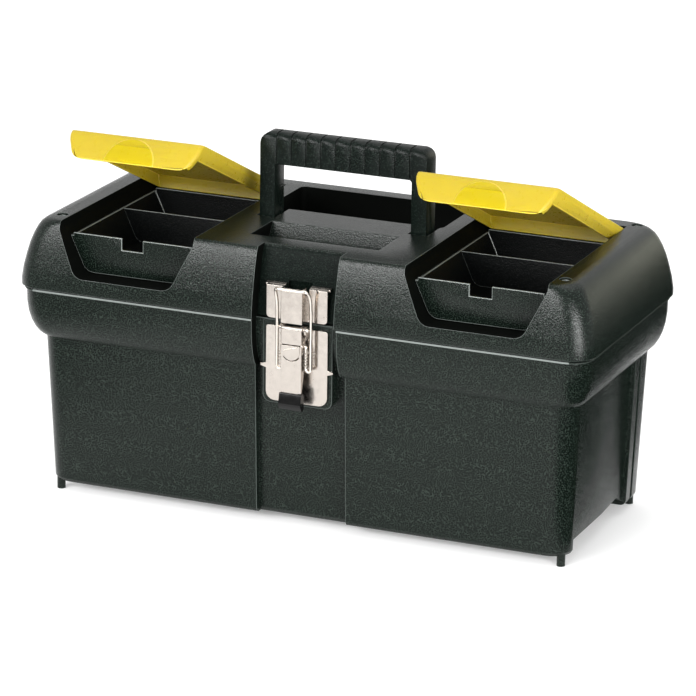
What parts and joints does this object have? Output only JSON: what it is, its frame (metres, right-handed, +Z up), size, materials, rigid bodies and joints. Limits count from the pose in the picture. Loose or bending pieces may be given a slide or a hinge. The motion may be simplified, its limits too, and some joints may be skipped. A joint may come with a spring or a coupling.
{
  "type": "toolbox with tray",
  "caption": "Moulded plastic tool box with hinged lid, yellow organizer covers, fold-down handle, draw latch and inner tote tray.",
  "frame": {"origin": "on the ground under the middle of the box, at the bottom of its bounding box", "axes": "+X along the length, to the right seen from the front; -Y towards the front, where the latch is; +Z up"},
  "size_m": [0.4, 0.1881, 0.2479],
  "materials": {
    "black_plastic": "fine spark-eroded grain",
    "dark_plastic": "satin moulded",
    "yellow_plastic": "glossy",
    "nickel_steel": "bright nickel plate"
  },
  "bodies": {
    "base": {"base_tub": "black_plastic", "lid_hinge_pin_left": "nickel_steel", "lid_hinge_pin_right": "nickel_steel", "latch_base_plate": "nickel_steel", "latch_pivot_pin": "nickel_steel"},
    "lid": {"lid_shell": "black_plastic", "left_organizer_bin": "dark_plastic", "left_bin_divider": "dark_plastic", "right_organizer_bin": "dark_plastic", "right_bin_divider": "dark_plastic", "handle_pin_left": "nickel_steel", "handle_pin_right": "nickel_steel", "strike_plate": "nickel_steel", "corner_plug_front_left": "dark_plastic", "corner_plug_front_right": "dark_plastic", "corner_plug_rear_left": "dark_plastic", "corner_plug_rear_right": "dark_plastic"},
    "left_cover": {"left_organizer_cover": "yellow_plastic"},
    "right_cover": {"right_organizer_cover": "yellow_plastic"},
    "handle": {"carry_handle": "black_plastic"},
    "lever": {"latch_lever": "nickel_steel", "latch_lever_tip": "dark_plastic"},
    "bail": {"latch_bail": "nickel_steel", "bail_spring_left": "nickel_steel", "bail_spring_right": "nickel_steel"},
    "tray": {"tote_tray": "dark_plastic"}
  },
  "joints": [
    {"name": "lid_hinge", "type": "hinge", "parent": "base", "child": "lid", "pos_m": [0, 0.0896, 0.1435], "axis": [-1, 0, 0], "range_deg": [0, 105]},
    {"name": "left_cover_hinge", "type": "hinge", "parent": "lid", "child": "left_cover", "pos_m": [-0.1215, 0.061, 0.186], "axis": [-1, 0, 0], "range_deg": [-24.5, 80]},
    {"name": "right_cover_hinge", "type": "hinge", "parent": "lid", "child": "right_cover", "pos_m": [0.1215, 0.061, 0.186], "axis": [-1, 0, 0], "range_deg": [-24.5, 80]},
    {"name": "handle_fold", "type": "hinge", "parent": "lid", "child": "handle", "pos_m": [0, -0.0025, 0.181], "axis": [-1, 0, 0], "range_deg": [0, 90]},
    {"name": "latch_lever_hinge", "type": "hinge", "parent": "base", "child": "lever", "pos_m": [0, -0.087, 0.1403], "axis": [-1, 0, 0], "range_deg": [0, 90]},
    {"name": "latch_bail_hinge", "type": "hinge", "parent": "lever", "child": "bail", "pos_m": [0, -0.087, 0.1294], "axis": [-1, 0, 0], "range_deg": [-108, 0]},
    {"name": "tray_lift", "type": "slide", "parent": "base", "child": "tray", "axis": [0, 0, 1], "range_m": [0, 0.008]}
  ],
  "couplings": [
    {"joint": "latch_bail_hinge", "follows": "latch_lever_hinge", "ratio": -1.2}
  ]
}
